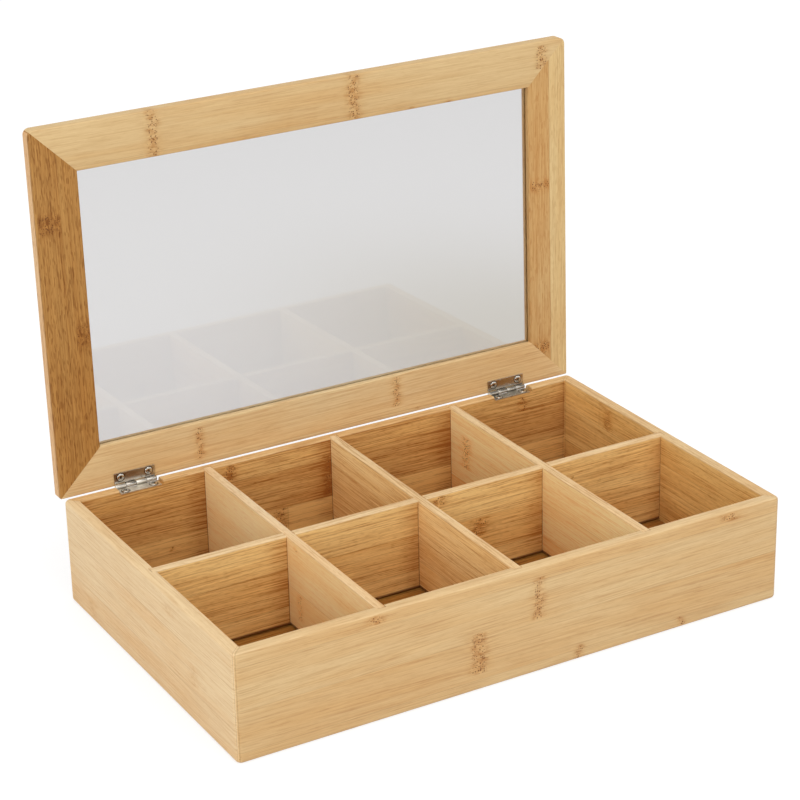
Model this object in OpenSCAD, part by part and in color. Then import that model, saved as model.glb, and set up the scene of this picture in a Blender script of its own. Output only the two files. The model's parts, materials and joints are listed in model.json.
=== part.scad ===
// Bamboo box for tea bags: eight compartments under a framed lid with a clear pane, on two butt hinges.
// Millimetres, +Z up, the front towards -Y, drawn with the lid standing open.
// The origin is on the plane that the box stands on, in the middle of the ground that the box and its
// open lid cover.

/* [Box] */
// Outer width of the four walls
box_w = 340; // [280:1:420]
// Outer depth of the four walls
box_d = 213; // [150:1:280]
// Height of the walls
box_h = 63; // [45:1:100]
// Thickness of the walls
wall_t = 7.2; // [6:0.1:10]
// Radius of the walls' inner edges
wall_ease = 0.7; // [0.3:0.1:1.5]
// Radius of the walls' outer edges, above and below
wall_outer_ease = 2.1; // [0.5:0.1:2.6]
// Radius of the upright outer corners
corner_r = 3.4; // [1:0.1:4]

/* [Floor] */
// Thickness of the floor panel
floor_t = 4.5; // [3:0.1:8]
// Height of the floor panel's underside above the ground
floor_z = 3.8; // [2:0.1:8]
// Depth of the groove in the walls that holds the floor panel
floor_groove = 3; // [2:0.1:4]

/* [Dividers] */
// Thickness of the dividers
divider_t = 5.2; // [3:0.1:7]
// Gap between the floor panel and the dividers
divider_lift = 1.2; // [0.5:0.1:4]
// Depth of the housings in the walls that hold the dividers' ends
housing = 2.8; // [1.5:0.1:4]
// Radius of the dividers' eased top edges
divider_ease = 0.7; // [0.2:0.1:1.2]

/* [Lid] */
// Thickness of the lid frame
lid_t = 8.5; // [7.5:0.1:14]
// Width of the rails and stiles
frame_w = 26.4; // [18:0.1:40]
// How far the lid reaches past the walls on each side
lid_over = 0.7; // [0:0.1:3]
// Radius of the lid frame's edges at the pane
lid_ease = 0.8; // [0.3:0.1:1.8]
// Radius of the lid frame's outer edges
lid_outer_ease = 0.9; // [0.4:0.1:2.2]
// Radius of the lid's front corners
lid_corner_r = 3.6; // [1:0.1:5]
// Radius of the lid's corners at the hinges
lid_back_corner_r = 1; // [0.6:0.1:4]
// Angle the open lid stands at
open_angle = 91.2; // [70:0.1:110]

/* [Pane] */
// Thickness of the pane
pane_t = 2; // [1.5:0.1:3]
// Depth of the groove in the lid frame that holds the pane
pane_groove = 5; // [3:0.5:8]

/* [Hinges] */
// Distance from the box's side to the middle of a hinge
hinge_inset = 45; // [30:1:70]
// Length of a hinge along its pin
leaf_l = 25.4; // [18:0.1:40]
// Width of a leaf, from the pin's axis to its free edge
leaf_w = 8; // [7.8:0.1:8.3]
// Thickness of the leaf metal
leaf_t = 0.6; // [0.5:0.05:0.65]
// Outer radius of the knuckles
knuckle_r = 1.4; // [1.35:0.05:2]
// How far the leaves are cut back from their neighbours' knuckles
leaf_relief = 0.6; // [0.2:0.1:1]
// Radius of the pin
pin_r = 0.7; // [0.5:0.05:0.8]
// Distance from the back of the box to the pin's axis
pin_setback = 0.8; // [0.8:0.1:2.5]

/* [Screws] */
// Distance between the two screws of a leaf
screw_pitch = 17.4; // [12:0.1:22]
// Distance from the pin's axis to the screws
screw_setback = 5.2; // [4.8:0.1:5.6]
// Radius of the screw shanks
screw_r = 1.1; // [0.8:0.05:1.3]
// Radius of the screw heads
screw_head_r = 2.2; // [1.8:0.05:2.3]
// Height of the screw heads
screw_head_h = 0.7; // [0.5:0.05:0.75]
// Length of the shanks in the wall
wall_screw_l = 10; // [6:0.5:16]
// Length of the shanks in the lid
lid_screw_l = 6; // [4:0.5:6.5]

/* [Clearances] */
// Gap between the closed lid and the rim
rim_gap = 0.2; // [0:0.05:0.5]
// Gap on each side of a divider in its housing or lap
divider_gap = 0.05; // [0:0.05:0.3]
// Gap at the end of a divider, the floor panel or the pane in its groove
end_gap = 0.3; // [0.1:0.1:1]
// Gap over the floor panel or the pane in its groove
groove_gap = 0.1; // [0:0.05:0.3]
// Gap between the pin and the knuckles that turn on it
pin_gap = 0.05; // [0.01:0.01:0.1]
// Gap between neighbouring knuckles
knuckle_gap = 0.15; // [0.1:0.05:0.3]
// Gap between the ends of a hinge and its notch
notch_gap = 1; // [0.2:0.1:2]
// Gap around a screw's shank in its leaf
screw_hole_gap = 0.2; // [0.1:0.05:0.4]
// Gap around a screw's shank in the wood
pilot_gap = 0.02; // [0.01:0.01:0.1]

/* [Hidden] */

bamboo = [0.86, 0.70, 0.47];
bamboo_side = [0.91, 0.79, 0.58];
bamboo_inside = [0.76, 0.57, 0.33];
bamboo_floor = [0.63, 0.43, 0.20];
bamboo_dark = [0.67, 0.46, 0.24];
bamboo_light = [0.84, 0.69, 0.46];
pane_tint = [0.86, 0.87, 0.87, 0.3];
nickel = [0.75, 0.74, 0.71];

round_fn = 48;          // facets drawn on pins, holes and screws
ease_steps = 4;         // flats in each eased corner
dome_steps = 8;         // flats in a screw head's dome
cut = 1;                // how far a cut runs past the face it opens

inner_w = box_w - 2 * wall_t;
inner_d = box_d - 2 * wall_t;
divider_z = floor_z + floor_t + divider_lift;
divider_h = box_h - divider_z;
lap_z = divider_z + divider_h / 2;
housing_w = divider_t + 2 * divider_gap;
cross_pitch = (inner_w + divider_t) / 4;

lid_w = box_w + 2 * lid_over;
lid_d = box_d + 2 * lid_over;
lid_z = box_h + rim_gap;
pane_z = (lid_t - pane_t) / 2;
pane_w = lid_w - 2 * (frame_w - pane_groove + end_gap);
pane_d = lid_d - 2 * (frame_w - pane_groove + end_gap);

pin_y = box_d + pin_setback;
pin_z = lid_z - knuckle_r;
notch_z = pin_z - knuckle_r;
hinge_x = box_w / 2 - hinge_inset;
knuckles = 4;           // alternately the box leaf's and the lid leaf's, from the left
knuckle_pitch = leaf_l / knuckles;

// The lid's corner radii, anticlockwise from the front left one.
lid_corners = [lid_corner_r, lid_corner_r, lid_back_corner_r, lid_back_corner_r];

// The open lid's rearmost line is on the eased edge between its top and its front.
lid_edge = edge_radius(lid_outer_ease, min(lid_corner_r, lid_back_corner_r));
lid_reach = lid_over + pin_y - lid_edge;
lid_rise = lid_t + knuckle_r - lid_edge;
rest_back = pin_y - lid_reach * cos(open_angle) + lid_rise * sin(open_angle) + lid_edge;
origin_y = rest_back / 2;

// Rectangle from [0, 0] to [w, h] with a radius at each corner, anticlockwise from the lower left.
function eased_rect(w, h, r) = [
    for (k = [0 : 3]) for (s = [0 : r[k] > 0 ? ease_steps : 0])
        let (a = 180 + 90 * (k + s / ease_steps),
             cx = (k == 1 || k == 2) ? w - r[k] : r[k],
             cy = k >= 2 ? h - r[k] : r[k])
        [cx + r[k] * cos(a), cy + r[k] * sin(a)]
];

// An outer edge's radius stays under that of the corner it runs round.
function edge_radius(ease, corner) = min(ease, 0.9 * corner);

// Board along X with its outer edge on the X axis, mitred to meet its neighbours at square corners. Its
// profile turns round the upright corners, of radius r[0] at the left and r[1] at the right.
module mitred_board(l, w, h, r, outer, inner) {
    intersection() {
        translate([0, 0, -cut]) linear_extrude(h + 2 * cut) polygon([
            [-l / 2 - cut, -cut], [l / 2 + cut, -cut], [l / 2 - w - cut, w + cut], [w + cut - l / 2, w + cut]
        ]);
        union() {
            translate([(r[0] - r[1]) / 2, 0, 0]) rotate([90, 0, 90])
                linear_extrude(l - r[0] - r[1], center = true)
                    polygon(eased_rect(w, h, [outer, inner, inner, outer]));
            for (end = [0, 1]) mirror([1 - end, 0, 0]) translate([l / 2 - r[end], r[end], 0])
                rotate([0, 0, -90]) rotate_extrude(angle = 90, $fn = round_fn)
                    polygon(eased_rect(r[end], h, [0, outer, outer, 0]));
        }
    }
}

// Places what is drawn in a board's own frame on one side of a w by d frame: 0 front, 1 right,
// 2 back, 3 left.
module on_side(side, w, d) {
    translate([0, d / 2, 0]) rotate([0, 0, 90 * side])
        translate([0, -(side % 2 == 0 ? d : w) / 2, 0]) children();
}

// From a frame with its front face at y = 0 to the frame that the part is kept in.
module placed() {
    translate([0, -origin_y, 0]) children();
}

// From the closed lid's place to the open one.
module opened() {
    translate([0, pin_y, pin_z]) rotate([-open_angle, 0, 0]) translate([0, -pin_y, -pin_z]) children();
}

module at_hinges() {
    for (side = [-1, 1]) translate([side * hinge_x, 0, 0]) children();
}

module at_screws() {
    for (side = [-1, 1]) translate([side * screw_pitch / 2, 0, 0]) children();
}

// Wall along one side, with the floor's groove and a housing at each place in housing_x.
module wall(side, l, housing_x) {
    on_side(side, box_w, box_d) difference() {
        mitred_board(l, wall_t, box_h, [corner_r, corner_r],
                     edge_radius(wall_outer_ease, corner_r), wall_ease);
        translate([-l / 2, wall_t - floor_groove, floor_z])
            cube([l, floor_groove + cut, floor_t + groove_gap]);
        for (x = housing_x)
            translate([x - housing_w / 2, wall_t - housing, divider_z])
                cube([housing_w, housing + cut, divider_h + cut]);
    }
}

function cross_x(i) = (i - 1) * cross_pitch;
all_cross_x = [for (i = [0 : 2]) cross_x(i)];

module front_wall() {
    color(bamboo) placed() wall(0, box_w, all_cross_x);
}

module right_wall() {
    color(bamboo_side) placed() wall(1, box_d, [0]);
}

module left_wall() {
    color(bamboo_side) placed() wall(3, box_d, [0]);
}

// The back wall is notched through at each hinge and drilled for the screws.
module back_wall() {
    color(bamboo) placed() difference() {
        wall(2, box_w, all_cross_x);
        at_hinges() {
            translate([-leaf_l / 2 - notch_gap, box_d - wall_t - cut, notch_z])
                cube([leaf_l + 2 * notch_gap, wall_t + 2 * cut, box_h - notch_z + cut]);
            at_screws() translate([0, pin_y - screw_setback, notch_z - wall_screw_l])
                cylinder(h = wall_screw_l + cut, r = screw_r + pilot_gap, $fn = round_fn);
        }
    }
}

module floor_panel() {
    w = inner_w + 2 * (floor_groove - end_gap);
    d = inner_d + 2 * (floor_groove - end_gap);
    color(bamboo_floor) placed() translate([-w / 2, (box_d - d) / 2, floor_z]) cube([w, d, floor_t]);
}

// Divider along X, centred on the origin in plan, with its top edges eased.
module divider(l) {
    r = divider_ease;
    translate([-l / 2, -divider_t / 2, divider_z]) rotate([90, 0, 90])
        linear_extrude(l) polygon(eased_rect(divider_t, divider_h, [0, 0, r, r]));
}

// The long divider is slotted from above to half its height where the cross dividers lap over it.
module long_divider() {
    color(bamboo_inside) placed() translate([0, box_d / 2, 0]) difference() {
        divider(inner_w + 2 * (housing - end_gap));
        for (x = all_cross_x)
            translate([x - housing_w / 2, -divider_t / 2 - cut, lap_z])
                cube([housing_w, divider_t + 2 * cut, divider_h]);
    }
}

// A cross divider is slotted from below and sits in the long divider's slot.
module cross_divider(i) {
    color(bamboo_inside) placed() translate([cross_x(i), box_d / 2, 0]) difference() {
        rotate([0, 0, 90]) divider(inner_d + 2 * (housing - end_gap));
        translate([-divider_t / 2 - cut, -housing_w / 2, divider_z - cut])
            cube([divider_t + 2 * cut, housing_w, lap_z - divider_z + cut]);
    }
}

// Rail or stile of the lid frame, with the pane's groove in its inner edge.
module frame_member(side, l) {
    translate([0, -lid_over, lid_z]) on_side(side, lid_w, lid_d) difference() {
        mitred_board(l, frame_w, lid_t, [for (k = [side, side + 1]) lid_corners[k % 4]], lid_edge, lid_ease);
        translate([-l / 2, frame_w - pane_groove, pane_z])
            cube([l, pane_groove + cut, pane_t + groove_gap]);
    }
}

module lid_front_rail() {
    color(bamboo_light) placed() opened() frame_member(0, lid_w);
}

module lid_right_stile() {
    color(bamboo_light) placed() opened() frame_member(1, lid_d);
}

// The back rail is drilled for the hinge screws.
module lid_back_rail() {
    color(bamboo_light) placed() opened() difference() {
        frame_member(2, lid_w);
        at_hinges() at_screws() translate([0, pin_y - screw_setback, lid_z - cut])
            cylinder(h = lid_screw_l + cut, r = screw_r + pilot_gap, $fn = round_fn);
    }
}

module lid_left_stile() {
    color(bamboo_dark) placed() opened() frame_member(3, lid_d);
}

module lid_pane() {
    color(pane_tint) placed() opened()
        translate([-pane_w / 2, (box_d - pane_d) / 2, lid_z + pane_z]) cube([pane_w, pane_d, pane_t]);
}

// Where knuckle i starts along the pin, from the hinge's middle.
function knuckle_x(i) = (i - knuckles / 2) * knuckle_pitch;

module along_pin(x, l, r) {
    translate([x, 0, 0]) rotate([0, 90, 0]) cylinder(h = l, r = r, $fn = round_fn);
}

// A leaf lies on the plane z = -knuckle_r, its free edge towards -Y and the pin's axis on the X axis.
// Every other knuckle from the first one given is its own, and it is cut back clear of the others.
module leaf(first, bore_r) {
    leaf_corner = 0.5;
    relief = knuckle_r + leaf_relief;
    difference() {
        union() {
            translate([-leaf_l / 2, -leaf_w, -knuckle_r]) linear_extrude(leaf_t)
                polygon(eased_rect(leaf_l, leaf_w, [leaf_corner, leaf_corner, 0, 0]));
            for (i = [first : 2 : knuckles - 1])
                along_pin(knuckle_x(i) + knuckle_gap / 2, knuckle_pitch - knuckle_gap, knuckle_r);
        }
        for (i = [1 - first : 2 : knuckles - 1])
            translate([knuckle_x(i) - knuckle_gap / 2, -relief, -knuckle_r - cut])
                cube([knuckle_pitch + knuckle_gap, relief + cut, leaf_t + 2 * cut]);
        along_pin(-leaf_l, 2 * leaf_l, bore_r);
        at_screws() translate([0, -screw_setback, -knuckle_r - cut])
            cylinder(h = leaf_t + 2 * cut, r = screw_r + screw_hole_gap, $fn = round_fn);
    }
}

// Pan-head screw standing on the plane z = 0, its cross recess upwards.
module screw(shank_l) {
    rim_h = 0.3 * screw_head_h;
    tip_l = 2 * screw_r;
    slot_w = 0.3 * screw_head_r;
    slot_l = 1.15 * screw_head_r;
    slot_d = 0.7 * screw_head_h;
    difference() {
        rotate_extrude($fn = round_fn) polygon([
            [0, 0],
            [screw_head_r, 0],
            for (s = [0 : dome_steps])
                let (a = 90 * s / dome_steps)
                [screw_head_r * cos(a), rim_h + (screw_head_h - rim_h) * sin(a)]
        ]);
        for (turn = [0, 90]) rotate([0, 0, turn])
            translate([-slot_l / 2, -slot_w / 2, screw_head_h - slot_d])
                cube([slot_l, slot_w, slot_d + cut]);
    }
    translate([0, 0, tip_l - shank_l]) cylinder(h = shank_l - tip_l, r = screw_r, $fn = round_fn);
    translate([0, 0, -shank_l]) cylinder(h = tip_l, r1 = screw_r / 4, r2 = screw_r, $fn = round_fn);
}

// From a hinge's own frame, with the pin's axis on the X axis, to its place on the box: side is -1 for
// the left one and 1 for the right.
module at_pin(side) {
    translate([side * hinge_x, pin_y, pin_z]) children();
}

// The box leaf's knuckles grip the pin.
module box_leaf(side) {
    color(nickel) placed() at_pin(side) leaf(0, pin_r);
}

// The lid leaf's knuckles turn on the pin.
module lid_leaf(side) {
    color(nickel) placed() opened() at_pin(side) mirror([0, 0, 1]) leaf(1, pin_r + pin_gap);
}

module pin(side) {
    color(nickel) placed() at_pin(side) along_pin(-leaf_l / 2, leaf_l, pin_r);
}

module box_screws(side) {
    color(nickel) placed() at_pin(side) at_screws()
        translate([0, -screw_setback, leaf_t - knuckle_r]) screw(wall_screw_l);
}

module lid_screws(side) {
    color(nickel) placed() opened() at_pin(side) mirror([0, 0, 1]) at_screws()
        translate([0, -screw_setback, leaf_t - knuckle_r]) screw(lid_screw_l);
}

front_wall();
back_wall();
left_wall();
right_wall();
floor_panel();
long_divider();
cross_divider(0);  // cross_divider_left
cross_divider(1);  // cross_divider_middle
cross_divider(2);  // cross_divider_right
lid_front_rail();
lid_back_rail();
lid_left_stile();
lid_right_stile();
lid_pane();
box_leaf(-1);  // hinge_left_box_leaf
lid_leaf(-1);  // hinge_left_lid_leaf
pin(-1);  // hinge_left_pin
box_screws(-1);  // hinge_left_box_screws
lid_screws(-1);  // hinge_left_lid_screws
box_leaf(1);  // hinge_right_box_leaf
lid_leaf(1);  // hinge_right_lid_leaf
pin(1);  // hinge_right_pin
box_screws(1);  // hinge_right_box_screws
lid_screws(1);  // hinge_right_lid_screws
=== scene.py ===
import json
import math
import random

import bpy
from mathutils import Matrix, Vector


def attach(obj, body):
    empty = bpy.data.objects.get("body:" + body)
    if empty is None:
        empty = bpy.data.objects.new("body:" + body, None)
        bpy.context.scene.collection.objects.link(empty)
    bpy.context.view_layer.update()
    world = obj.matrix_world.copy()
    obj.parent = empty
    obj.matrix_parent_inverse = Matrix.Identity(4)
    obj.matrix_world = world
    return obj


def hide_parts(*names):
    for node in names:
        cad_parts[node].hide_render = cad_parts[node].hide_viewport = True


# metres, but for the sizes in the dictionaries that are multiplied by mm
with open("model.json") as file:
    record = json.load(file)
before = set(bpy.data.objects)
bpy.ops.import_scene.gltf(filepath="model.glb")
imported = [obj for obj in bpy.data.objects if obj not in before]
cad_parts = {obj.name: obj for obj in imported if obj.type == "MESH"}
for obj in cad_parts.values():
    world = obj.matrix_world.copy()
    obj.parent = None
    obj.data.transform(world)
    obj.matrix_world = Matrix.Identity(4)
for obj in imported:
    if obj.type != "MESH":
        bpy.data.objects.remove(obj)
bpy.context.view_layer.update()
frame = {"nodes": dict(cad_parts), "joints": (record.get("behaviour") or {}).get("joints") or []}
nodes = frame["nodes"]
mm = 0.001
hinge = frame["joints"][0]
pinPlace = Vector(hinge["pos_m"])
openAngle = math.radians(hinge["range_deg"][1])
print("frame loaded:", len(nodes), "nodes")


# node trees: put makes a node and joins or sets its inputs, calc is one sum

def put(tree, kind, values=None, **settings):
    node = tree.nodes.new(kind)
    for key, value in settings.items():
        setattr(node, key, value)
    for key, value in (values or {}).items():
        if isinstance(value, bpy.types.NodeSocket):
            tree.links.new(value, node.inputs[key])
        else:
            node.inputs[key].default_value = value
    return node


def calc(tree, operation, *values, clamp=False):
    node = put(tree, "ShaderNodeMath", dict(enumerate(values)), operation=operation, use_clamp=clamp)
    return node.outputs[0]


def plus(tree, first, *others, clamp=False):
    for k, other in enumerate(others):
        first = calc(tree, "ADD", first, other, clamp=clamp and k == len(others) - 1)
    return first


def minus(tree, first, second):
    return calc(tree, "SUBTRACT", first, second)


def times(tree, first, *others):
    for other in others:
        first = calc(tree, "MULTIPLY", first, other)
    return first


def highest(tree, values):
    top = 0.0
    for value in values:
        top = calc(tree, "MAXIMUM", top, value)
    return top


def centred(tree, value, factor):
    # noise and shares lie round a half
    return times(tree, minus(tree, value, 0.5), factor)


def between(tree, value, low, high, toLow=0.0, toHigh=1.0, kind="SMOOTHSTEP"):
    numbers = {"Value": value, "From Min": low, "From Max": high, "To Min": toLow, "To Max": toHigh}
    return put(tree, "ShaderNodeMapRange", numbers, interpolation_type=kind).outputs[0]


def splitAxes(tree, place):
    return put(tree, "ShaderNodeSeparateXYZ", {0: place}).outputs


def joinAxes(tree, x, y, z):
    return put(tree, "ShaderNodeCombineXYZ", {0: x, 1: y, 2: z}).outputs[0]


def splitColor(tree, color):
    return put(tree, "ShaderNodeSeparateColor", {0: color}).outputs


def vectors(tree, operation, first, second):
    return put(tree, "ShaderNodeVectorMath", {0: first, 1: second}, operation=operation).outputs[0]


def noise(tree, place, stretch, detail=2.0, roughness=0.5):
    values = {"Vector": vectors(tree, "MULTIPLY", place, stretch), "Scale": 1.0,
              "Detail": detail, "Roughness": roughness}
    return put(tree, "ShaderNodeTexNoise", values).outputs[0]


def blend(tree, factor, first, second, kind="MIX"):
    values = {0: factor, 6: first, 7: second}  # 6 and 7 are the node's colours
    return put(tree, "ShaderNodeMix", values, data_type="RGBA", blend_type=kind).outputs[2]


def newGroup(name, inputs, outputs):
    tree = bpy.data.node_groups.new(name, "ShaderNodeTree")
    kinds = {"f": "NodeSocketFloat", "v": "NodeSocketVector", "c": "NodeSocketColor"}
    for side, sockets in (("INPUT", inputs), ("OUTPUT", outputs)):
        for socket, kind in sockets:
            tree.interface.new_socket(name=socket, in_out=side, socket_type=kinds[kind])
    return tree, tree.nodes.new("NodeGroupInput").outputs, tree.nodes.new("NodeGroupOutput").inputs


def useGroup(tree, group, values):
    return put(tree, "ShaderNodeGroup", values, node_tree=group).outputs


def newMaterial(name):
    material = bpy.data.materials.new(name)
    material.use_nodes = True
    return material, material.node_tree, material.node_tree.nodes["Principled BSDF"]


def srgb(red, green, blue):
    return tuple(((c / 255 + 0.055) / 1.055) ** 2.4 for c in (red, green, blue)) + (1.0,)


def setSurface(tree, surface, look, color, roughness, height):
    values = {"Strength": look["bump"], "Distance": look["bumpDepth"] * mm, "Height": height}
    normal = put(tree, "ShaderNodeBump", values).outputs[0]
    for key, value in (("Base Color", color), ("Roughness", roughness), ("Normal", normal)):
        tree.links.new(value, surface.inputs[key])


def closedPlace(tree, onLid):
    # where a point is when the lid is shut
    place = put(tree, "ShaderNodeTexCoord").outputs["Object"]
    if onLid:
        values = {"Vector": place, "Center": pinPlace, "Angle": openAngle}
        place = put(tree, "ShaderNodeVectorRotate", values, rotation_type="X_AXIS").outputs[0]
    return place


# eased edges: every piece is shaded round over its eased edges and flat over the sharp ones

easedEdges = {"join": 0.002, "sharp": 32.0}


def makeEasing():
    tree = bpy.data.node_groups.new("easedEdges", "GeometryNodeTree")
    for side in ("INPUT", "OUTPUT"):
        tree.interface.new_socket(name="Geometry", in_out=side, socket_type="NodeSocketGeometry")
    start, end = tree.nodes.new("NodeGroupInput"), tree.nodes.new("NodeGroupOutput")
    values = {"Geometry": start.outputs[0], "Distance": easedEdges["join"] * mm}
    joined = put(tree, "GeometryNodeMergeByDistance", values).outputs[0]
    values = {"Geometry": joined, "Shade Smooth": True}
    smooth = put(tree, "GeometryNodeSetShadeSmooth", values).outputs[0]
    angle = put(tree, "GeometryNodeInputMeshEdgeAngle").outputs[0]
    values = {0: angle, 1: math.radians(easedEdges["sharp"])}
    sharp = put(tree, "FunctionNodeCompare", values, data_type="FLOAT", operation="GREATER_THAN").outputs[0]
    values = {"Geometry": smooth, "Selection": sharp, "Shade Smooth": False}
    hard = put(tree, "GeometryNodeSetShadeSmooth", values, domain="EDGE").outputs[0]
    tree.links.new(hard, end.inputs[0])
    return tree


easing = makeEasing()


def dress(node, material):
    node.modifiers.new("easedEdges", "NODES").node_group = easing
    for slot in node.material_slots:
        slot.link = "OBJECT"
        slot.material = material


# camera and stage

camera = {"place": (-0.62737, -1.09446, 0.65852), "azimuth": 29.546, "drop": 23.114,
          "roll": -1.2875, "lens": 111.73, "sensor": 36.0}


def makeCamera():
    data = bpy.data.cameras.new("camera")
    data.lens = camera["lens"]
    data.sensor_width = camera["sensor"]
    eye = bpy.data.objects.new("camera", data)
    turn = Matrix.Rotation(-math.radians(camera["azimuth"]), 4, "Z")
    turn = turn @ Matrix.Rotation(math.radians(90.0 - camera["drop"]), 4, "X")
    turn = turn @ Matrix.Rotation(math.radians(camera["roll"]), 4, "Z")
    eye.matrix_world = Matrix.Translation(camera["place"]) @ turn
    bpy.context.scene.collection.objects.link(eye)
    bpy.context.scene.camera = eye
    bpy.context.scene.view_settings.view_transform = "Standard"


# shade is the floor's own, seenShade and seenGlow hold where it is seen straight or in metal, paneShade
# through the pane, where a painted shadow makes it browner round one place behind the box
table = {"size": 60.0, "shade": 0.80, "seenShade": 0.34, "seenGlow": 0.72, "paneShade": 0.74,
         "shadowPlace": (0.27, 0.30), "shadowSize": (0.15, 0.20), "brown": (0.60, 0.58, 0.53, 1.0)}


def makeFloor():
    half = table["size"] / 2
    mesh = bpy.data.meshes.new("floor")
    corners = [(-half, -half, 0), (half, -half, 0), (half, half, 0), (-half, half, 0)]
    mesh.from_pydata(corners, [], [(0, 1, 2, 3)])
    floor = bpy.data.objects.new("floor", mesh)
    bpy.context.scene.collection.objects.link(floor)
    material, tree, surface = newMaterial("floorWhite")
    path = put(tree, "ShaderNodeLightPath").outputs
    throughPane = path["Is Transmission Ray"]
    seen = calc(tree, "SUBTRACT", path["Is Glossy Ray"], throughPane, clamp=True)
    seen = calc(tree, "MAXIMUM", path["Is Camera Ray"], seen)
    shade = between(tree, seen, 0.0, 1.0, table["shade"], table["seenShade"], "LINEAR")
    split = splitAxes(tree, put(tree, "ShaderNodeTexCoord").outputs["Object"])
    # painted shadow: the floor seen through the pane darkens and browns round one place behind the box
    away = 0.0
    for at, middle, size in zip(split, table["shadowPlace"], table["shadowSize"]):
        offset = times(tree, minus(tree, at, middle), 1 / size)
        away = plus(tree, away, times(tree, offset, offset))
    brown = calc(tree, "EXPONENT", times(tree, away, -1.0))
    paneColor = blend(tree, brown, (table["paneShade"],) * 3 + (1.0,), table["brown"])
    tree.links.new(blend(tree, throughPane, shade, paneColor), surface.inputs["Base Color"])
    tree.links.new(times(tree, seen, table["seenGlow"]), surface.inputs["Emission Strength"])
    surface.inputs["Roughness"].default_value = 1.0
    surface.inputs["Specular IOR Level"].default_value = 0.0
    surface.inputs["Emission Color"].default_value = (1.0, 1.0, 1.0, 1.0)
    mesh.materials.append(material)


# metal sees a white surround with a dim ceiling over it, the boards an even one
surround = {"ambient": 0.76, "white": 1.0, "ceiling": 0.22, "ceilingEdge": (0.2, 0.65)}


def makeWorld():
    world = bpy.data.worlds.new("studio")
    bpy.context.scene.world = world
    world.use_nodes = True
    tree = world.node_tree
    path = put(tree, "ShaderNodeLightPath").outputs
    height = splitAxes(tree, put(tree, "ShaderNodeTexCoord").outputs["Generated"])[2]
    ceiling = between(tree, height, *surround["ceilingEdge"], surround["white"], surround["ceiling"])
    light = surround["ambient"]
    rays = {"Glossy": ceiling, "Transmission": table["paneShade"], "Camera": surround["white"]}
    for ray, value in rays.items():
        light = between(tree, path["Is %s Ray" % ray], 0.0, 1.0, light, value, "LINEAR")
    sky = tree.nodes["Background"]
    sky.inputs["Color"].default_value = (1.0, 1.0, 1.0, 1.0)
    tree.links.new(light, sky.inputs["Strength"])


lamps = {"leftBox": {"place": (-2.4, -1.3, 1.1), "aimHeight": 0.10, "size": (1.6, 1.6), "watts": 16.0},
         "topBox": {"place": (-0.2, -0.8, 2.6), "aimHeight": 0.0, "size": (1.8, 1.8), "watts": 17.0},
         "frontBox": {"place": (0.3, -2.2, 2.0), "aimHeight": 0.05, "size": (2.0, 1.2), "watts": 11.0}}


def makeLamps():
    for name, lamp in lamps.items():
        data = bpy.data.lights.new(name, "AREA")
        data.shape = "RECTANGLE"
        data.size, data.size_y = lamp["size"]
        data.energy = lamp["watts"]
        light = bpy.data.objects.new(name, data)
        light.location = lamp["place"]
        toAim = Vector((0.0, 0.0, lamp["aimHeight"])) - Vector(lamp["place"])
        light.rotation_euler = toAim.to_track_quat("-Z", "Y").to_euler()
        bpy.context.scene.collection.objects.link(light)


makeCamera()
makeFloor()
makeWorld()
makeLamps()
print("camera and stage made")


# bamboo: one knot of a culm, then the laminated board

knot = {"wander": ((40.0, 260.0, 120.0), 3.0), "read": (0.3, 0.7), "sway": 1.4, "soft": 0.8}


def makeKnot():
    inputs = [("Place", "v"), ("Along", "f"), ("From", "f"), ("To", "f"), ("Width", "f"), ("Strength", "f")]
    tree, given, result = newGroup("knot", inputs, [("Mask", "f")])
    split = splitAxes(tree, given["Place"])
    sway, soft = knot["sway"] * mm, knot["soft"] * mm
    wander = noise(tree, given["Place"], *knot["wander"])
    sway = between(tree, wander, *knot["read"], -sway, sway, "LINEAR")
    offset = plus(tree, minus(tree, split[0], given["Along"]), sway)
    offset = calc(tree, "DIVIDE", offset, given["Width"])
    bell = calc(tree, "EXPONENT", times(tree, offset, offset, -1.0))
    low = between(tree, minus(tree, split[1], given["From"]), -soft, soft)
    high = between(tree, minus(tree, given["To"], split[1]), -soft, soft)
    tree.links.new(times(tree, bell, low, high, given["Strength"]), result["Mask"])
    return tree


# a mark's noise is its changes per metre along, across and through, its detail and its roughness;
# read is where the noise starts and ends to count
marks = {"fibre": {"noise": ((45.0, 1800.0, 1400.0), 2.0, 0.6)},
         "fleck": {"noise": ((70.0, 1200.0, 950.0), 0.0), "read": (0.62, 0.72)},
         "line": {"noise": ((26.0, 1350.0, 1050.0), 0.6), "read": (0.53, 0.63)},
         "light": {"noise": ((30.0, 1200.0, 900.0), 0.6), "read": (0.44, 0.34)},
         "tick": {"noise": ((240.0, 1250.0, 1000.0), 0.0), "read": (0.56, 0.70, -0.15, 1.0)},
         "band": {"noise": ((5.5, 130.0, 100.0), 2.0)},
         "cloud": {"noise": ((9.0, 24.0, 24.0), 2.0)},
         "scorch": {"noise": ((260.0, 420.0, 420.0), 2.0), "read": (0.35, 0.65, 0.06, 0.55)}}
darkening = {"fibre": 1.5, "fleck": 0.35, "line": 0.85, "light": 0.4, "band": 1.5, "cloud": 0.3,
             "all": 0.25}
warming = {"band": 1.2, "cloud": 1.6, "halo": 0.5}
bending = {"wander": ((110.0, 230.0, 120.0), 1.0), "aside": 5.0, "slant": 0.035}
dots = {"perMetre": (850.0, 1050.0, 1050.0), "scatter": 0.9, "edge": (0.25, 0.46, 0.95, 0.0),
        "missing": 0.36, "inKnot": (0.2, 0.75)}
grown = {"seam": 0.8, "halo": 0.7, "sunk": 0.8, "roughness": (0.3, 0.7, 0.50, 0.64)}


def readMark(tree, place, mark):
    value = noise(tree, place, *mark["noise"])
    return between(tree, value, *mark["read"]) if "read" in mark else value


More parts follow.
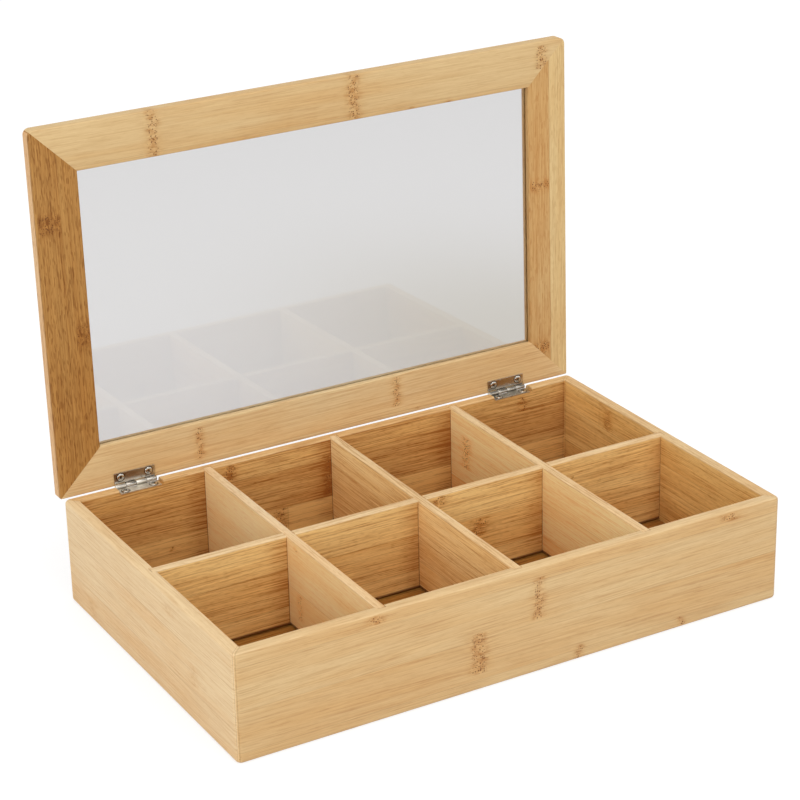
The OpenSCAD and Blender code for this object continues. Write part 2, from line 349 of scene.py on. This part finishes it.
def makeBamboo():
    inputs = [("Place", "v"), ("Tone", "f"), ("Hue", "f"), ("Shift", "f"), ("Knots", "f"), ("Seams", "f"),
              ("Fibre", "f"), ("Lines", "f"), ("Bands", "f"), ("Ticks", "f"), ("Pale", "c"), ("Brown", "c"),
              ("Warm", "c"), ("Dark", "c")]
    tree, given, result = newGroup("bamboo", inputs, [("Color", "c"), ("Height", "f"), ("Roughness", "f")])
    # each lamella is read from another place at a slant of its own, and its fibres part around a knot
    shift, place = given["Shift"], given["Place"]
    slant = times(tree, centred(tree, shift, bending["slant"]), splitAxes(tree, place)[0])
    bend = centred(tree, noise(tree, place, *bending["wander"]), bending["aside"] * mm)
    bend = times(tree, bend, given["Knots"])
    place = vectors(tree, "ADD", place, joinAxes(tree, shift, slant, shift))
    place = vectors(tree, "ADD", place, joinAxes(tree, 0.0, bend, bend))
    mark = {name: readMark(tree, place, marks[name]) for name in marks}
    fibre = centred(tree, mark["fibre"], darkening["fibre"])
    fibre = plus(tree, fibre, times(tree, mark["fleck"], darkening["fleck"]))
    streak = times(tree, mark["line"], darkening["line"])
    streak = minus(tree, streak, times(tree, mark["light"], darkening["light"]))
    band = centred(tree, mark["band"], darkening["band"])
    shade = plus(tree, times(tree, fibre, given["Fibre"]), times(tree, mark["tick"], given["Ticks"]),
                 times(tree, streak, given["Lines"]), times(tree, band, given["Bands"]),
                 centred(tree, mark["cloud"], darkening["cloud"]), given["Tone"])
    # a soft brown halo round the knot, deeper where it is scorched
    halo = calc(tree, "POWER", given["Knots"], grown["halo"])
    shade = plus(tree, shade, times(tree, halo, mark["scorch"]), darkening["all"], clamp=True)
    color = blend(tree, shade, given["Pale"], given["Brown"])
    warmth = plus(tree, given["Hue"], centred(tree, mark["band"], warming["band"]),
                  centred(tree, mark["cloud"], warming["cloud"]),
                  times(tree, halo, warming["halo"]), clamp=True)
    color = blend(tree, warmth, color, given["Warm"], "MULTIPLY")
    values = {"Vector": vectors(tree, "MULTIPLY", place, dots["perMetre"]), "Scale": 1.0,
              "Randomness": dots["scatter"]}
    cells = put(tree, "ShaderNodeTexVoronoi", values).outputs
    chosen = calc(tree, "GREATER_THAN", splitColor(tree, cells["Color"])[0], dots["missing"])
    spots = times(tree, between(tree, cells["Distance"], *dots["edge"]), chosen,
                  between(tree, given["Knots"], *dots["inKnot"]))
    dark = plus(tree, spots, times(tree, given["Seams"], grown["seam"]), clamp=True)
    height = minus(tree, mark["fibre"], times(tree, dark, grown["sunk"]))
    tree.links.new(blend(tree, dark, color, given["Dark"]), result["Color"])
    tree.links.new(height, result["Height"])
    tree.links.new(between(tree, mark["fibre"], *grown["roughness"], "LINEAR"), result["Roughness"])
    return tree


knotTree = makeKnot()
bambooTree = makeBamboo()

# axes: which of x, y and z runs along, across and through the board
# lamellae: where each starts as a share of the width, its tone, its warmth
# knots: along in mm from the middle, start and end as shares of the width, half width in mm, strength
# joints: dark gaps on the inner face, in mm from the middle, beside which painted shade gathers; inside: the
# end of through with that face
# butts: where a lamella ends against the next, in mm from the middle, start and end, change of tone
# top: colours of its own for a board's top, set apart from its faces for the light on them: painted light
alongX, alongY, flat, stile = (0, 2, 1), (1, 2, 0), (0, 1, 2), (1, 0, 2)
dividers = {"apart": 82.7, "halfWidth": 2.75}
crossed = [side * dividers["halfWidth"] for side in (-1, 1)]
lapped = [k * dividers["apart"] + at for k in (-1, 0, 1) for at in crossed]
outer = {"fibre": 0.34, "lines": 0.22, "bands": 0.1}
inner = {"fibre": 0.48, "lines": 0.38, "bands": 0.2, "ticks": 0.14}
framed = {"fibre": 0.36, "lines": 0.15, "bands": 0.1}
# painted light: paler colours for the outer faces of the back and right walls, whose own colours are set for
# the shade inside
outerFaceAsLit = outer | {"skin": (2.2, 3.0), "pale": (225, 194, 144), "brown": (178, 131, 80)}
boards = {
    "front_wall": outer | {
        "axes": alongX, "inside": 1, "joints": lapped, "pale": (222, 192, 142), "brown": (175, 127, 77),
        "top": {"pale": (228, 201, 155), "brown": (177, 134, 85)},
        "lamellae": [(0.0, 0.01, 0.3), (0.1, 0.02, 0.35), (0.48, -0.01, 0.2), (0.87, -0.03, 0.2)],
        "knots": [(10.8, 0.51, 0.9, 3.6, 0.75), (-27.0, 0.16, 0.54, 4.4, 0.95),
                  (-88.5, 0.905, 0.98, 4.4, 0.85), (36.4, 0.0, 0.14, 2.6, 0.8),
                  (103.3, 0.0, 0.11, 2.0, 0.9), (135.4, 0.91, 0.98, 4.8, 0.85)]},
    "back_wall": inner | {
        "axes": alongX, "inside": -1, "joints": lapped, "outside": outerFaceAsLit, "lines": 0.42,
        "pale": (232, 187, 117), "brown": (157, 100, 44),
        "top": {"pale": (227, 193, 141), "brown": (181, 133, 80)},
        "lamellae": [(0.0, -0.1, 0.2), (0.41, 0.2, 0.4), (0.8, 0.08, 0.3)],
        "knots": [(-69.3, 0.82, 0.98, 3.8, 1.0), (-5.0, 0.44, 0.85, 3.2, 0.6),
                  (-37.5, 0.2, 0.41, 4.2, 0.85), (131.6, 0.78, 0.93, 2.8, 0.9),
                  (-108.0, 0.27, 0.31, 1.2, 0.9)],
        "butts": [(-32.7, 0.0, 0.41, -0.16)]},
    "left_wall": outer | {
        "axes": alongY, "inside": 1, "joints": crossed, "fibre": 0.36, "lines": 0.2,
        "pale": (236, 209, 164), "brown": (193, 146, 95),
        "lamellae": [(0.0, 0.03, 0.3), (0.3, -0.02, 0.15), (0.68, 0.0, 0.1)],
        "knots": [(75.0, 0.05, 0.22, 5.0, 0.25), (-58.0, 0.36, 0.56, 5.0, 0.28),
                  (-31.0, 0.82, 0.92, 5.0, 0.25)]},
    "right_wall": inner | {
        "axes": alongY, "inside": -1, "joints": crossed, "outside": outerFaceAsLit, "paintedShade": 0.06, "lines": 0.35,
        "pale": (243, 204, 132), "brown": (178, 122, 58),
        "top": {"pale": (226, 195, 146), "brown": (178, 131, 79)},
        "lamellae": [(0.0, 0.1, 0.5), (0.36, 0.02, 0.3), (0.72, 0.05, 0.4)],
        "knots": [(52.5, 0.72, 0.95, 4.5, 0.5)], "butts": [(61.5, 0.72, 0.985, -0.1)]},
    "long_divider": inner | {
        "axes": alongX, "joints": lapped, "pale": (249, 211, 140), "brown": (175, 117, 55),
        "lamellae": [(0.0, -0.08, 0.2), (0.2, 0.06, 0.4), (0.62, 0.02, 0.25)],
        "knots": [(11.8, 0.87, 0.98, 4.8, 0.9), (37.0, 0.4, 0.6, 5.5, 0.8),
                  (100.2, 0.77, 0.81, 1.0, 1.0)]},
    "cross_divider_left": inner | {
        "axes": alongY, "fibre": 0.45, "lines": 0.2, "pale": (251, 231, 179), "brown": (236, 189, 133),
        "top": {"pale": (237, 212, 172), "brown": (190, 147, 98)},
        "lamellae": [(0.0, 0.0, 0.7), (0.45, 0.02, 0.55)],
        "knots": [(-15.0, 0.12, 0.42, 2.8, 0.6), (-12.4, 0.9, 0.96, 1.4, 0.7)]},
    "cross_divider_middle": inner | {
        "axes": alongY, "lines": 0.55, "pale": (250, 219, 159), "brown": (207, 155, 94),
        "lamellae": [(0.0, -0.05, 0.6), (0.3, 0.08, 0.5), (0.7, -0.05, 0.4)], "knots": []},
    "cross_divider_right": inner | {
        "axes": alongY, "lines": 0.4, "pale": (251, 230, 173), "brown": (236, 183, 121),
        "lamellae": [(0.0, 0.3, 0.8), (0.19, 0.0, 0.45), (0.6, -0.04, 0.35)],
        "knots": [(81.8, 0.37, 0.76, 5.0, 0.8)]},
    # partly the panel's own deep brown, partly painted shade: its colours are darkened to stand in for the
    # shade low in the compartments
    "floor_panel": inner | {
        "axes": flat, "lines": 0.5, "pale": (180, 128, 58), "brown": (122, 74, 24),
        "lamellae": [(k / 9, 0.12 * (k % 3), 0.2 * (k % 4)) for k in range(9)], "knots": []},
    "lid_front_rail": framed | {
        "axes": flat, "pale": (221, 192, 141), "brown": (179, 132, 79),
        "lamellae": [(0.0, 0.0, 0.2), (0.9, 0.04, 0.35)],
        "knots": [(-99.0, 0.0, 1.0, 3.6, 0.8), (27.0, 0.0, 1.0, 4.0, 0.9), (154.2, 0.1, 0.62, 3.6, 1.0),
                  (89.6, 0.94, 1.0, 2.0, 0.9), (64.5, 0.95, 1.0, 1.8, 0.9)]},
    "lid_back_rail": framed | {
        "axes": flat, "lines": 0.26, "pale": (232, 207, 158), "brown": (193, 144, 92),
        "lamellae": [(0.0, 0.02, 0.25), (0.9, 0.05, 0.35)],
        "knots": [(-82.9, 0.11, 0.86, 2.6, 0.7), (48.8, 0.05, 0.75, 2.8, 0.75),
                  (62.6, 0.89, 0.93, 1.2, 0.8)]},
    "lid_left_stile": framed | {
        "axes": stile, "fibre": 0.62, "lines": 0.24, "ticks": 0.3,
        "pale": (190, 141, 76), "brown": (126, 78, 28),
        "side": {"share": (0.022, 0.032), "behind": (1.4, 2.2),
                 "pale": (234, 195, 146), "brown": (190, 143, 95)},
        "lamellae": [(0.0, 0.1, 0.35), (0.557, 0.02, 0.25)],
        "knots": [(-54.3, 0.05, 0.53, 5.6, 1.0), (13.2, 0.7, 0.98, 7.0, 0.9),
                  (14.5, 0.84, 0.98, 3.2, 1.0)]},
    "lid_right_stile": framed | {
        "axes": stile, "fibre": 0.48, "lines": 0.18, "ticks": 0.16,
        "pale": (226, 199, 144), "brown": (184, 136, 80),
        "lamellae": [(0.0, 0.32, 0.6), (0.557, -0.03, 0.2)],
        "knots": [(-18.8, 0.03, 0.54, 3.0, 0.85), (86.0, 0.1, 0.52, 5.0, 0.95)]},
}
wood = {"ticks": 0.06, "paintedShade": 0.28, "warm": (255, 240, 218), "dark": (108, 62, 27),
        "bump": 0.12, "bumpDepth": 0.2, "specular": 0.25}
# painted light: the tops' tone and colours, set apart from the faces for how they are lit
paintedTopLight = {"start": 0.986, "tone": -0.1, "pale": (233, 204, 158), "brown": (185, 140, 88)}
# painted shade in the inner corners: its reach before a following board in mm, its fade from the bottom as
# shares of the width, and how near the inner face it shows in mm
paintedShade = {"reach": (1.0, 16.0), "low": (0.0, 0.4, 0.4, 0.0), "near": (1.5, 0.8)}
# half width in mm and strength of each line and the softness of its edges; where joints fade, where the
# painted shade along a divider's bottom edge ends and where the last lamella line may lie, as shares of the
# width; how near its face a joint shows, in mm
darkLines = {"lamella": (0.2, 0.2), "mitre": (0.25, 0.35), "butt": (0.2, 0.35), "joint": (0.3, 0.9),
             "soft": (0.5, 1.3), "lap": (0.48, 0.52, 1.0, 0.7), "top": (0.975, 0.985, 1.0, 0.0),
             "paintedFootShade": (0.012, 0.022, 1.0, 0.0), "last": 0.95, "near": (1.0, 0.5)}


def boardAxes(tree, name, look):
    # along, across and through the board: the place being shaded, and the board's ends with the lid shut
    onLid, turn = name.startswith("lid"), Matrix.Identity(4)
    if onLid:
        turn = Matrix.Translation(pinPlace) @ Matrix.Rotation(openAngle, 4, "X")
        turn = turn @ Matrix.Translation(-pinPlace)
    points = [turn @ v.co for v in nodes[name].data.vertices]
    split = splitAxes(tree, closedPlace(tree, onLid))
    ends = [(min(p[k] for p in points), max(p[k] for p in points)) for k in look["axes"]]
    return [{"at": split[k], "low": low, "high": high, "middle": (low + high) / 2}
            for k, (low, high) in zip(look["axes"], ends)]


def lineAt(tree, value, place, halfWidth, strength):
    apart = calc(tree, "ABSOLUTE", minus(tree, value, place))
    return between(tree, apart, *(halfWidth * soft * mm for soft in darkLines["soft"]), strength, 0.0)


def nearInside(tree, look, through, start, end):
    # 1 at the inner face of a wall, and all over a board without one
    if "inside" not in look:
        return 1.0
    side = look["inside"]
    face = through["high" if side > 0 else "low"]
    return between(tree, through["at"], face - side * start * mm, face - side * end * mm)


def jointLines(tree, look, share, along, through):
    # gaps where other boards are let in, on the inner face and below the top
    places = [along["middle"] + at * mm for at in look["joints"]]
    gaps = highest(tree, [lineAt(tree, along["at"], at, *darkLines["joint"]) for at in places])
    lap, top = (between(tree, share, *darkLines[key]) for key in ("lap", "top"))
    return times(tree, gaps, lap, top, nearInside(tree, look, through, *darkLines["near"]))


def paintedShadeTone(tree, look, share, along, through):
    # painted shade: inner faces are browner low down and where another board follows on their right,
    # standing in for the shade in these corners
    corners = []
    for at in [along["middle"] + at * mm for at in look["joints"]] + [along["high"]]:
        apart = minus(tree, at, along["at"])
        beside = between(tree, apart, *(reach * mm for reach in paintedShade["reach"]), 1.0, 0.0)
        corners.append(times(tree, beside, calc(tree, "GREATER_THAN", apart, 0.0)))
    tone = plus(tree, highest(tree, corners), between(tree, share, *paintedShade["low"]))
    return times(tree, tone, nearInside(tree, look, through, *paintedShade["near"]), look["paintedShade"])


def lamellaMarks(tree, name, look, share):
    # one constant stop per lamella: red holds its tone, green its warmth, blue where its grain is read from
    dice = random.Random(name)
    ramp = put(tree, "ShaderNodeValToRGB", {"Fac": share})
    ramp.color_ramp.interpolation = "CONSTANT"
    stops = ramp.color_ramp.elements
    stops.remove(stops[1])
    for k, (start, tone, warmth) in enumerate(look["lamellae"]):
        stop = stops.new(start) if k else stops[0]
        stop.position = start
        stop.color = (0.5 + tone, warmth, dice.random(), 1.0)
    return splitColor(tree, ramp.outputs[0])


def recolor(tree, values, mask, look):
    for key in ("pale", "brown"):
        values[key.capitalize()] = blend(tree, mask, values[key.capitalize()], srgb(*look[key]))


def makeBoard(name, look):
    look = wood | look
    material, tree, surface = newMaterial("bamboo_" + name)
    along, across, through = boardAxes(tree, name, look)
    place = joinAxes(tree, along["at"], across["at"], through["at"])
    width = across["high"] - across["low"]
    share = calc(tree, "DIVIDE", minus(tree, across["at"], across["low"]), width)
    red, green, blue = lamellaMarks(tree, name, look, share)
    tone = minus(tree, red, 0.5)
    values = {"Place": place, "Hue": green, "Shift": blue}
    values |= {key.capitalize(): look[key] for key in ("fibre", "lines", "bands", "ticks")}
    values |= {key.capitalize(): srgb(*look[key]) for key in ("pale", "brown", "warm", "dark")}
    starts = [lamella[0] for lamella in look["lamellae"] if 0.0 < lamella[0] < darkLines["last"]]
    seams = [lineAt(tree, across["at"], across["low"] + start * width, *darkLines["lamella"])
             for start in starts]
    if "joints" in look:
        seams.append(jointLines(tree, look, share, along, through))
        # painted shade low down and beside the boards that follow
        tone = plus(tree, tone, paintedShadeTone(tree, look, share, along, through))
    # painted shade: a dark band along the bottom of each divider, where shade falls in the gap above the
    # floor
    if "divider" in name:
        seams.append(between(tree, share, *darkLines["paintedFootShade"]))
    for at, start, end, change in look.get("butts", []):
        band = times(tree, calc(tree, "GREATER_THAN", share, start), calc(tree, "LESS_THAN", share, end))
        butt = along["middle"] + at * mm
        tone = plus(tree, tone, times(tree, calc(tree, "GREATER_THAN", along["at"], butt), band, change))
        seams.append(times(tree, lineAt(tree, along["at"], butt, *darkLines["butt"]), band))
    if "inside" in look:
        depth = minus(tree, through["at"], through["low" if look["inside"] > 0 else "high"])
        depth = calc(tree, "ABSOLUTE", depth)
        reach = plus(tree, calc(tree, "ABSOLUTE", minus(tree, along["at"], along["middle"])), depth)
        seams.append(lineAt(tree, reach, (along["high"] - along["low"]) / 2, *darkLines["mitre"]))
        if "outside" in look:
            # painted light: the outer face is paler than the inner one, which is coloured for the shade
            # inside, and its grain finer
            skin = between(tree, depth, *(at * mm for at in look["outside"]["skin"]), 1.0, 0.0)
            recolor(tree, values, skin, look["outside"])
            for key in ("fibre", "lines"):
                ends = (look[key], look["outside"][key])
                values[key.capitalize()] = between(tree, skin, 0.0, 1.0, *ends, "LINEAR")
    if look["axes"] in (alongX, alongY):
        # painted light: boards that stand on edge get tops coloured apart from their faces, for the light
        # that falls on them
        onTop = calc(tree, "GREATER_THAN", share, paintedTopLight["start"])
        tone = between(tree, onTop, 0.0, 1.0, tone, paintedTopLight["tone"], "LINEAR")
        recolor(tree, values, onTop, paintedTopLight | look.get("top", {}))
    if "side" in look:
        # the stile's outer edge, but not its front corner
        side = look["side"]
        behind = between(tree, through["at"], *(through["low"] + at * mm for at in side["behind"]))
        onSide = between(tree, share, *side["share"], 1.0, 0.0)
        recolor(tree, values, times(tree, onSide, behind), side)
    masks = []
    for at, start, end, halfWidth, strength in look["knots"]:
        spot = {"Place": place, "Along": along["middle"] + at * mm, "From": across["low"] + start * width,
                "To": across["low"] + end * width, "Width": halfWidth * mm, "Strength": strength}
        masks.append(useGroup(tree, knotTree, spot)[0])
    values |= {"Tone": tone, "Seams": highest(tree, seams), "Knots": highest(tree, masks)}
    bamboo = useGroup(tree, bambooTree, values)
    setSurface(tree, surface, look, bamboo["Color"], bamboo["Roughness"], bamboo["Height"])
    surface.inputs["Specular IOR Level"].default_value = look["specular"]
    dress(nodes[name], material)


for name, look in boards.items():
    makeBoard(name, look)
print("boards dressed:", len(boards))


# pane

pane = {"tint": (0.965, 0.955, 0.955, 1.0), "ior": 1.5, "roughness": 0.0}


def makePane():
    material, tree, surface = newMaterial("clearPane")
    surface.inputs["Base Color"].default_value = pane["tint"]
    surface.inputs["Roughness"].default_value = pane["roughness"]
    surface.inputs["IOR"].default_value = pane["ior"]
    surface.inputs["Transmission Weight"].default_value = 1.0
    dress(nodes["lid_pane"], material)


makePane()


# hinges: leaves rolled from sheet round their pins, drawn in the hinge's own frame with the pin along X

leaf = {"length": 25.4, "width": 8.0, "sheet": 0.6, "corner": 0.5, "cornerSteps": 5, "fromMiddle": 125.0,
        "knuckles": 4, "outer": 1.4, "roll": 285.0, "rollSteps": 22, "gap": 0.15, "relief": 0.25,
        "screwApart": 17.4, "screwSetback": 5.2, "hole": 1.3, "holeRoom": 2.2, "holeSteps": 8,
        "bevel": 0.1, "bevelSteps": 2, "bevelAngle": 50.0}
# painted light: the leaves are all one nickel, but each gets a colour of its own, the left box leaf palest,
# standing in for how much light it reflects
nickel = {"left_box": {"color": (0.80, 0.75, 0.66, 1.0), "roughness": (0.30, 0.44)},
          "right_box": {"color": (0.60, 0.56, 0.49, 1.0), "roughness": (0.24, 0.38)},
          "left_lid": {"color": (0.54, 0.50, 0.44, 1.0), "roughness": (0.16, 0.28)},
          "right_lid": {"color": (0.54, 0.50, 0.44, 1.0), "roughness": (0.16, 0.28)},
          "screws": {"color": (0.66, 0.63, 0.57, 1.0), "roughness": (0.12, 0.22)}}
plating = {"brushed": ((90.0, 2600.0, 2600.0), 2.0), "worn": ((260.0, 260.0, 260.0), 3.0),
           "uneven": (0.35, 0.65), "bump": 0.08, "bumpDepth": 0.05}
# painted shade: rings in mm from the nearest screw's middle, dark round the heads on the leaves and in the
# middle of the heads: where the shade starts, is full, thins and ends
screwShade = {"leaf": (1.9, 2.3, 2.5, 3.0), "screws": (-2.0, -1.0, 0.5, 1.0), "strength": 0.85,
         "color": (0.09, 0.07, 0.05, 1.0)}


def screwDistance(tree, place):
    split = splitAxes(tree, place)
    aside = minus(tree, calc(tree, "ABSOLUTE", split[0]), leaf["fromMiddle"] * mm)
    aside = minus(tree, calc(tree, "ABSOLUTE", aside), leaf["screwApart"] / 2 * mm)
    away = minus(tree, split[1], pinPlace.y - leaf["screwSetback"] * mm)
    return calc(tree, "SQRT", plus(tree, times(tree, aside, aside), times(tree, away, away)))


def makeNickel(name, onLid, look, ring):
    material, tree, surface = newMaterial("nickel_" + name)
    place = closedPlace(tree, onLid)
    brushed = noise(tree, place, *plating["brushed"])
    uneven = times(tree, plus(tree, brushed, noise(tree, place, *plating["worn"])), 0.5)
    roughness = between(tree, uneven, *plating["uneven"], *look["roughness"], "LINEAR")
    # painted shade: dark rings round the screw heads on the leaves and in the middle of the heads
    start, full, thin, end = (at * mm for at in ring)
    away = screwDistance(tree, place)
    dark = between(tree, away, thin, end, screwShade["strength"], 0.0)
    dark = times(tree, between(tree, away, start, full), dark)
    setSurface(tree, surface, plating, blend(tree, dark, look["color"], screwShade["color"]), roughness, brushed)
    surface.inputs["Metallic"].default_value = 1.0
    return material


def holeFaces(room, apart, setback):
    # the sheet between a round screw hole and the square room left for it, a quarter at a time
    faces, steps, hole = [], leaf["holeSteps"], leaf["hole"]
    for middle in (-apart, apart):
        for quarter in range(4):
            face = []
            for turn in (math.radians(45 + 90 * (quarter + k)) for k in (0, 1)):
                x, y = math.copysign(room, math.cos(turn)), math.copysign(room, math.sin(turn))
                face.append((middle + x, y - setback))
            for k in range(steps + 1):
                turn = math.radians(45 + 90 * quarter + 90 * (steps - k) / steps)
                face.append((middle + hole * math.cos(turn), hole * math.sin(turn) - setback))
            faces.append(face)
    return faces


def leafPattern(first):
    # faces of the flat sheet, x along the pin and y across it, with screw holes and every other tab
    half, pitch = leaf["length"] / 2, leaf["length"] / leaf["knuckles"]
    edge, cutBack = -leaf["width"], -leaf["outer"] - leaf["relief"]
    room, corner = leaf["holeRoom"], leaf["corner"]
    apart, setback = leaf["screwApart"] / 2, leaf["screwSetback"]
    cuts = [-half] + [i * pitch - half for i in range(1, leaf["knuckles"])] + [half]
    gap, last = leaf["gap"] / 2, leaf["knuckles"] - 1
    tabs = [(cuts[i] + gap * (i > 0), cuts[i + 1] - gap * (i < last)) for i in range(first, last + 1, 2)]
    columns = {-half, half, corner - half, half - corner} | {x for tab in tabs for x in tab}
    columns = sorted(columns | {side * apart + reach for side in (-1, 1) for reach in (-room, room)})
    length = (leaf["outer"] - leaf["sheet"] / 2) * math.radians(leaf["roll"])
    rows = [edge, edge + corner, -setback - room, -setback + room, cutBack, 0.0]
    rows += [length * (k + 1) / leaf["rollSteps"] for k in range(leaf["rollSteps"])]
    faces = []
    for x0, x1 in zip(columns, columns[1:]):
        for y0, y1 in zip(rows, rows[1:]):
            x, y = (x0 + x1) / 2, (y0 + y1) / 2
            onTab = any(start < x < end for start, end in tabs)
            onHole = abs(abs(x) - apart) < room and abs(y + setback) < room
            if (y > cutBack and not onTab) or onHole:
                continue
            face = [(x0, y0), (x1, y0), (x1, y1), (x0, y1)]
            if y0 == edge and abs(x) > half - corner:
                side = 1 if x > 0 else -1
                turns = [math.radians(90 * k / leaf["cornerSteps"]) for k in range(leaf["cornerSteps"] + 1)]
                face = [(side * (half - corner + corner * math.sin(t)), y1 - corner * math.cos(t))
                        for t in turns]
                face = ([(side * (half - corner), y1)] + face)[::side]
            faces.append(face)
    return faces + holeFaces(room, apart, setback)


def rolled(x, y):
    # from the flat sheet's middle surface to the rolled leaf, flat before the pin and round it after
    middle = leaf["outer"] - leaf["sheet"] / 2
    if y <= 0:
        return Vector((x, y, -middle))
    return Vector((x, middle * math.sin(y / middle), -middle * math.cos(y / middle)))


def makeLeaf(name, side, onLid, material):
    points, numbers, faces = [], {}, []
    place = Matrix.Translation(pinPlace + Vector((side * leaf["fromMiddle"] * mm, 0, 0)))
    if onLid:
        place = place @ Matrix.Rotation(-openAngle, 4, "X") @ Matrix.Diagonal((1, 1, -1, 1))
    for outline in leafPattern(1 if onLid else 0):
        face = []
        for x, y in outline:
            key = (round(x, 4), round(y, 4))
            if key not in numbers:
                numbers[key] = len(points)
                points.append(place @ (rolled(x, y) * mm))
            face.append(numbers[key])
        faces.append(face[::-1] if onLid else face)
    mesh = bpy.data.meshes.new(name)
    mesh.from_pydata(points, [], faces)
    mesh.materials.append(material)
    piece = bpy.data.objects.new(name, mesh)
    bpy.context.scene.collection.objects.link(piece)
    sheet = piece.modifiers.new("sheet", "SOLIDIFY")
    sheet.thickness, sheet.offset = leaf["sheet"] * mm, 0.0
    edges = piece.modifiers.new("edges", "BEVEL")
    edges.width, edges.segments = leaf["bevel"] * mm, leaf["bevelSteps"]
    edges.limit_method, edges.angle_limit = "ANGLE", math.radians(leaf["bevelAngle"])
    piece.modifiers.new("easedEdges", "NODES").node_group = easing
    return piece


screwNickel = {body: makeNickel("screws_" + body, body == "lid", nickel["screws"], screwShade["screws"])
               for body in ("box", "lid")}
for name, node in nodes.items():
    if name.endswith("screws") or name.endswith("pin"):
        dress(node, screwNickel["lid" if "lid" in name else "box"])
for word, side in (("left", -1), ("right", 1)):
    for body in ("box", "lid"):
        name = "%s_%s" % (word, body)
        material = makeNickel("leaf_" + name, body == "lid", nickel[name], screwShade["leaf"])
        piece = makeLeaf("leaf_" + name, side, body == "lid", material)
        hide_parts("hinge_%s_leaf" % name)
        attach(piece, body)
print("pane and hinges made")
